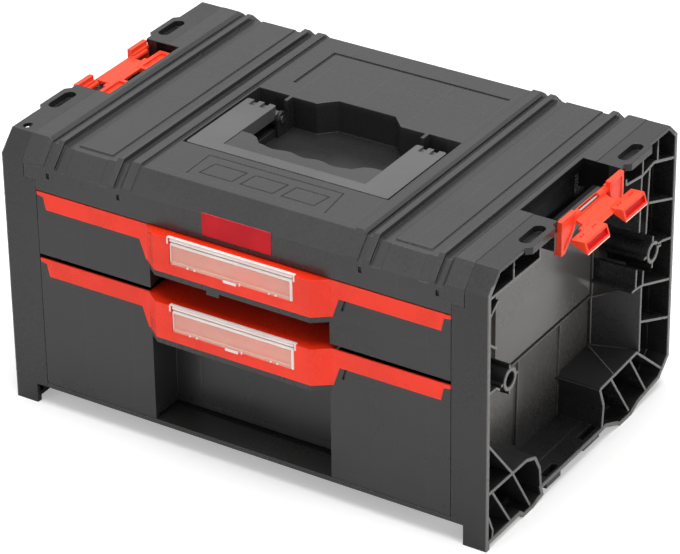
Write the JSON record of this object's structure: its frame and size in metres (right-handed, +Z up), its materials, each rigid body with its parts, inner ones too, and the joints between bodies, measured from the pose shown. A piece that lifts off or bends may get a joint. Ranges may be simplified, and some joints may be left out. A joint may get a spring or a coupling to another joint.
{
  "type": "portable tool box with drawers",
  "caption": "Portable tool box in charcoal plastic with two red-fronted drawers, a fold-down carrying handle and a red hooked latch on each side.",
  "frame": {"origin": "centre of the body's footprint, in the plane that the box stands on", "axes": "+X to the right seen from the front, +Y to the back (the drawers pull out towards -Y), +Z up"},
  "size_m": [0.4833, 0.3118, 0.244],
  "materials": {
    "charcoal": "finely textured",
    "charcoal_tray": "finely textured",
    "handle_black": "satin",
    "grip": "soft matte",
    "red": "glossy",
    "latch_red": "satin gloss",
    "window": "clear, glossy",
    "steel": "bright"
  },
  "bodies": {
    "housing": {"top_cover": "charcoal", "side_wall_left": "charcoal", "side_wall_right": "charcoal", "side_rim_left": "charcoal", "side_rim_right": "charcoal", "side_bosses_left": "charcoal", "side_bosses_right": "charcoal", "back_panel": "charcoal", "base_plate": "charcoal", "handle_pins": "steel", "latch_bracket_left": "latch_red", "latch_bracket_right": "latch_red", "latch_pin_left": "steel", "latch_pin_right": "steel", "back_screws": "steel", "base_screws": "steel", "cover_screws": "steel"},
    "handle": {"handle_bail": "handle_black", "handle_grip": "grip"},
    "latch_left": {"latch_hook_left": "latch_red"},
    "latch_right": {"latch_hook_right": "latch_red"},
    "drawer_upper": {"drawer_upper_tray": "charcoal_tray", "drawer_upper_fascia": "red"},
    "drawer_lower": {"drawer_lower_tray": "charcoal_tray", "drawer_lower_fascia": "red"},
    "window_upper": {"label_window_upper": "window"},
    "window_lower": {"label_window_lower": "window"}
  },
  "joints": [
    {"name": "drawer_upper_slide", "type": "slide", "parent": "housing", "child": "drawer_upper", "axis": [0, -1, 0], "range_m": [0, 0.23]},
    {"name": "drawer_lower_slide", "type": "slide", "parent": "housing", "child": "drawer_lower", "axis": [0, -1, 0], "range_m": [0, 0.23]},
    {"name": "handle_hinge", "type": "hinge", "parent": "housing", "child": "handle", "pos_m": [0, 0.012, 0.2285], "axis": [-1, 0, 0], "range_deg": [0, 90]},
    {"name": "latch_left_hinge", "type": "hinge", "parent": "housing", "child": "latch_left", "pos_m": [-0.2236, 0.0032, 0.2345], "axis": [0, -1, 0], "range_deg": [0, 203]},
    {"name": "latch_right_hinge", "type": "hinge", "parent": "housing", "child": "latch_right", "pos_m": [0.2236, 0.0032, 0.2345], "axis": [0, 1, 0], "range_deg": [-203, 0]},
    {"name": "window_upper_hinge", "type": "hinge", "parent": "drawer_upper", "child": "window_upper", "pos_m": [0, -0.1586, 0.1999], "axis": [-1, 0, 0], "range_deg": [0, 110]},
    {"name": "window_lower_hinge", "type": "hinge", "parent": "drawer_lower", "child": "window_lower", "pos_m": [0, -0.1586, 0.1387], "axis": [-1, 0, 0], "range_deg": [0, 110]}
  ]
}
